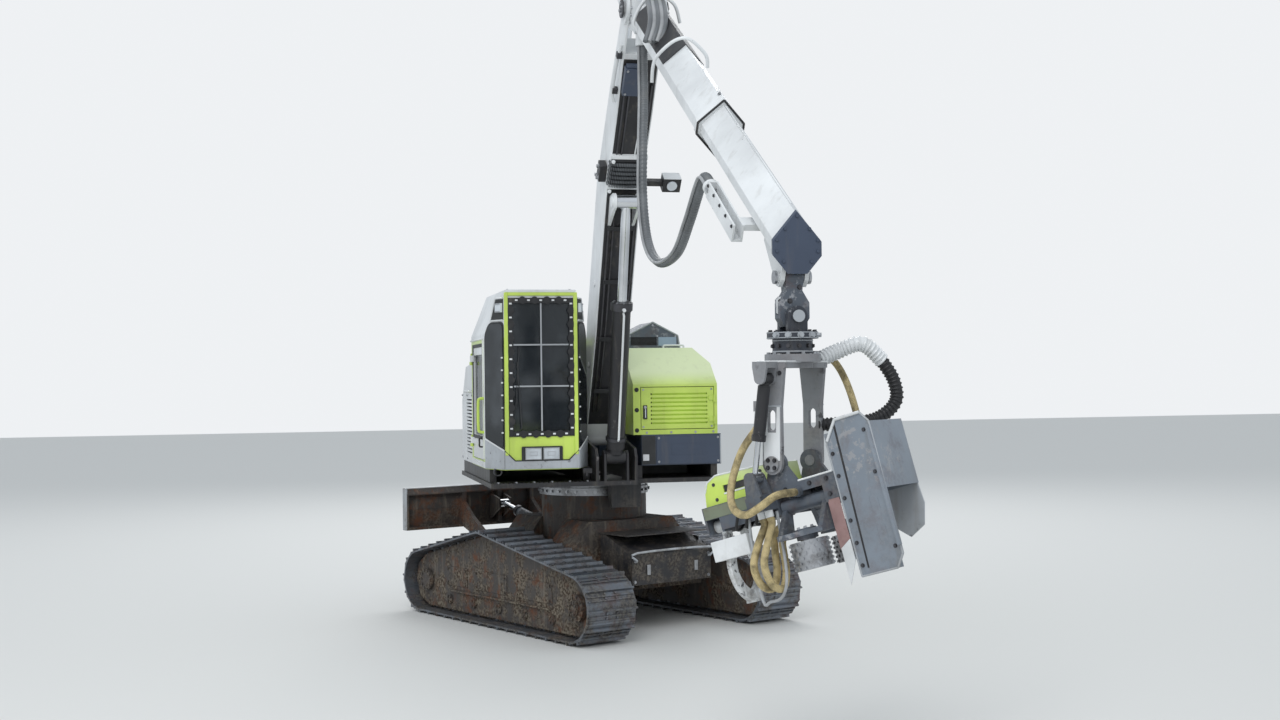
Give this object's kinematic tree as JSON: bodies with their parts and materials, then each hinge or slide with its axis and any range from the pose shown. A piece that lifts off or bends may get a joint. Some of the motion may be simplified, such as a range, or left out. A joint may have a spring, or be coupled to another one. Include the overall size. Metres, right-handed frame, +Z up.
{
  "type": "forestry harvester",
  "caption": "Tracked forestry harvester: slewing deck with cab and engine house, kinked boom, telescopic stick and a tilting harvester head.",
  "frame": {"origin": "on the ground, on the slewing axis, between the tracks", "axes": "+Z up; the crane reaches along -Y; +X is the engine side; the tracks are turned 24 degrees about +Z"},
  "size_m": [3.5088, 8.8565, 5.5736],
  "materials": {
    "lime_paint": "satin lime-green paint",
    "white_paint": "satin off-white paint",
    "slate_paint": "satin slate-blue paint",
    "dark_paint": "worn dark paint",
    "grey_paint": "worn blue-grey paint",
    "frame_paint": "rusty and muddy dark paint",
    "track_steel": "worn bare steel with mud",
    "rod_chrome": "polished",
    "bare_steel": "ground steel",
    "engine_metal": null,
    "window_glass": "tinted",
    "lamp_lens": "clear lens in a dark case",
    "black_plastic": "matte",
    "seat_cloth": "woven",
    "hose_rubber": "matte",
    "hose_sleeve": "tan woven sleeve"
  },
  "bodies": {
    "undercarriage": {"centre_frame": "frame_paint", "track_frames": "frame_paint", "tracks": "track_steel", "sprockets": "frame_paint", "rollers": "frame_paint", "slew_ring": "bare_steel", "tool_box": "dark_paint"},
    "blade": {"blade": "frame_paint"},
    "blade_barrel": {"blade_barrel": "grey_paint"},
    "blade_rod": {"blade_rod": "rod_chrome"},
    "deck": {"main_frame": "dark_paint", "counterweight": "slate_paint", "side_box": "slate_paint", "engine_block": "engine_metal", "hood": "lime_paint", "air_box": "grey_paint", "rear_box": "white_paint", "cab_body": "lime_paint", "cab_roof": "white_paint", "cab_glass": "window_glass", "front_grid": "white_paint", "cab_lamps": "lamp_lens", "seat": "seat_cloth", "console": "black_plastic"},
    "hood_door": {"hood_door": "lime_paint"},
    "cab_door": {"cab_door": "white_paint", "door_glass": "window_glass"},
    "boom": {"boom": "white_paint", "hose_drum": "hose_rubber", "boom_lamp": "dark_paint"},
    "lift_barrel": {"lift_barrel": "dark_paint"},
    "lift_rod": {"lift_rod": "rod_chrome"},
    "stick_barrel": {"stick_barrel": "dark_paint"},
    "stick_rod": {"stick_rod": "rod_chrome"},
    "stick": {"stick_outer": "white_paint", "hose_bundle": "hose_rubber"},
    "inner": {"stick_inner": "white_paint", "nose_plate": "slate_paint", "hose_fin": "white_paint"},
    "link": {"link": "grey_paint"},
    "rotator": {"rotator": "grey_paint"},
    "yoke": {"yoke": "grey_paint", "head_hoses": "hose_sleeve"},
    "tilt_barrel": {"tilt_barrel": "dark_paint"},
    "tilt_rod": {"tilt_rod": "rod_chrome"},
    "head": {"head_frame": "grey_paint", "head_hood": "lime_paint", "saw_box": "grey_paint", "arm_hoses": "hose_sleeve"},
    "saw_bar": {"saw_bar": "bare_steel"},
    "feed_arm_left": {"feed_arm_left": "grey_paint"},
    "feed_arm_right": {"feed_arm_right": "grey_paint"},
    "feed_roller_left": {"feed_roller_left": "bare_steel"},
    "feed_roller_right": {"feed_roller_right": "bare_steel"},
    "knife_left": {"knife_left": "bare_steel"},
    "knife_right": {"knife_right": "bare_steel"}
  },
  "joints": [
    {"name": "slew", "type": "hinge", "parent": "undercarriage", "child": "deck", "pos_m": [0, 0, 1.24], "axis": [0, 0, 1], "continuous": true},
    {"name": "blade_lift", "type": "hinge", "parent": "undercarriage", "child": "blade", "pos_m": [-0.38233, 0.85873, 0.42], "axis": [0.9135, 0.4067, 0], "range_deg": [-50, 5]},
    {"name": "blade_barrel_turn", "type": "hinge", "parent": "undercarriage", "child": "blade_barrel", "pos_m": [-0.33352, 0.74911, 0.8], "axis": [0.9135, 0.4067, 0], "range_deg": [-43.43, 4.61]},
    {"name": "blade_rod_slide", "type": "slide", "parent": "blade_barrel", "child": "blade_rod", "axis": [-0.3965, 0.8906, 0.2227], "range_m": [-0.036, 0.324]},
    {"name": "hood_door_swing", "type": "hinge", "parent": "deck", "child": "hood_door", "pos_m": [0.968, -0.862, 1.9], "axis": [0, 0, 1], "range_deg": [0, 110]},
    {"name": "cab_door_swing", "type": "hinge", "parent": "deck", "child": "cab_door", "pos_m": [-1.154, 0.095, 2], "axis": [0, 0, -1], "range_deg": [0, 85]},
    {"name": "boom_lift", "type": "hinge", "parent": "deck", "child": "boom", "pos_m": [0, -0.3, 1.75], "axis": [1, 0, 0], "range_deg": [-22, 25]},
    {"name": "lift_barrel_turn", "type": "hinge", "parent": "deck", "child": "lift_barrel", "pos_m": [0, -1, 1.56], "axis": [1, 0, 0], "range_deg": [-22.82, 25.89]},
    {"name": "lift_rod_slide", "type": "slide", "parent": "lift_barrel", "child": "lift_rod", "axis": [0, -0.2497, 0.9683], "range_m": [-0.316, 0.279]},
    {"name": "stick_fold", "type": "hinge", "parent": "boom", "child": "stick", "pos_m": [0, -2.33, 5.28], "axis": [-1, 0, 0], "range_deg": [-30, 40]},
    {"name": "stick_barrel_turn", "type": "hinge", "parent": "boom", "child": "stick_barrel", "pos_m": [0, -0.8, 3.86], "axis": [-1, 0, 0], "range_deg": [-1.46, 1.17]},
    {"name": "stick_rod_slide", "type": "slide", "parent": "stick_barrel", "child": "stick_rod", "axis": [0, -0.5699, 0.8217], "range_m": [-0.291, 0.219]},
    {"name": "telescope", "type": "slide", "parent": "stick", "child": "inner", "axis": [0, -0.8572, -0.515], "range_m": [-1.15, 0.35], "deforming": ["hose_bundle"]},
    {"name": "link_swing", "type": "hinge", "parent": "inner", "child": "link", "pos_m": [0, -6.01499, 2.84067], "axis": [1, 0, 0], "range_deg": [-50, 50]},
    {"name": "link_roll", "type": "hinge", "parent": "link", "child": "rotator", "pos_m": [0, -6.01499, 2.61], "axis": [0, 1, 0], "range_deg": [-35, 35]},
    {"name": "rotator_turn", "type": "hinge", "parent": "rotator", "child": "yoke", "pos_m": [0, -6.01499, 2.37], "axis": [0, 0, 1], "continuous": true},
    {"name": "head_tilt", "type": "hinge", "parent": "yoke", "child": "head", "pos_m": [0, -6.01499, 1.76], "axis": [0.7314, 0.682, 0], "range_deg": [-14, 106], "deforming": ["head_hoses"]},
    {"name": "tilt_barrel_turn", "type": "hinge", "parent": "yoke", "child": "tilt_barrel", "pos_m": [-0.24427, -6.24278, 2.25], "axis": [0.7314, 0.682, 0], "range_deg": [-0.89, 4.79]},
    {"name": "tilt_rod_slide", "type": "slide", "parent": "tilt_barrel", "child": "tilt_rod", "axis": [-0.0905, 0.097, -0.9912], "range_m": [-0.184, 0.028]},
    {"name": "saw_swing", "type": "hinge", "parent": "head", "child": "saw_bar", "pos_m": [0.26032, -6.51996, 1.59431], "axis": [0.6556, -0.703, 0.2756], "range_deg": [0, 80]},
    {"name": "feed_arm_left_open", "type": "hinge", "parent": "head", "child": "feed_arm_left", "pos_m": [-0.07274, -6.17893, 1.51488], "axis": [-0.6556, 0.703, -0.2756], "range_deg": [-12, 45], "deforming": ["arm_hoses"]},
    {"name": "feed_arm_right_open", "type": "hinge", "parent": "head", "child": "feed_arm_right", "pos_m": [0.16861, -5.95387, 1.51488], "axis": [0.6556, -0.703, 0.2756], "range_deg": [-12, 45]},
    {"name": "feed_roller_left_turn", "type": "hinge", "parent": "feed_arm_left", "child": "feed_roller_left", "pos_m": [-0.0306, -6.36341, 1.30693], "axis": [-0.188, 0.2016, 0.9613], "continuous": true},
    {"name": "feed_roller_right_turn", "type": "hinge", "parent": "feed_arm_right", "child": "feed_roller_right", "pos_m": [0.3497, -6.00877, 1.30693], "axis": [-0.188, 0.2016, 0.9613], "continuous": true},
    {"name": "knife_left_open", "type": "hinge", "parent": "head", "child": "knife_left", "pos_m": [-0.37587, -5.80254, 1.38187], "axis": [-0.6556, 0.703, -0.2756], "range_deg": [-10, 50]},
    {"name": "knife_right_open", "type": "hinge", "parent": "head", "child": "knife_right", "pos_m": [-0.18572, -5.62522, 1.38187], "axis": [0.6556, -0.703, 0.2756], "range_deg": [-10, 50]}
  ],
  "couplings": [
    {"joint": "blade_barrel_turn", "follows": "blade_lift", "ratio": 0.8456},
    {"joint": "blade_rod_slide", "follows": "blade_lift", "m_per_rad": -0.35918},
    {"joint": "lift_barrel_turn", "follows": "boom_lift", "ratio": 1.0034},
    {"joint": "lift_rod_slide", "follows": "boom_lift", "m_per_rad": -0.70054},
    {"joint": "stick_barrel_turn", "follows": "stick_fold", "ratio": -0.0284},
    {"joint": "stick_rod_slide", "follows": "stick_fold", "m_per_rad": -0.40176},
    {"joint": "tilt_barrel_turn", "follows": "head_tilt", "ratio": 0.0415},
    {"joint": "tilt_rod_slide", "follows": "head_tilt", "m_per_rad": -0.09492},
    {"joint": "feed_arm_right_open", "follows": "feed_arm_left_open", "ratio": 1},
    {"joint": "knife_right_open", "follows": "knife_left_open", "ratio": 1}
  ]
}
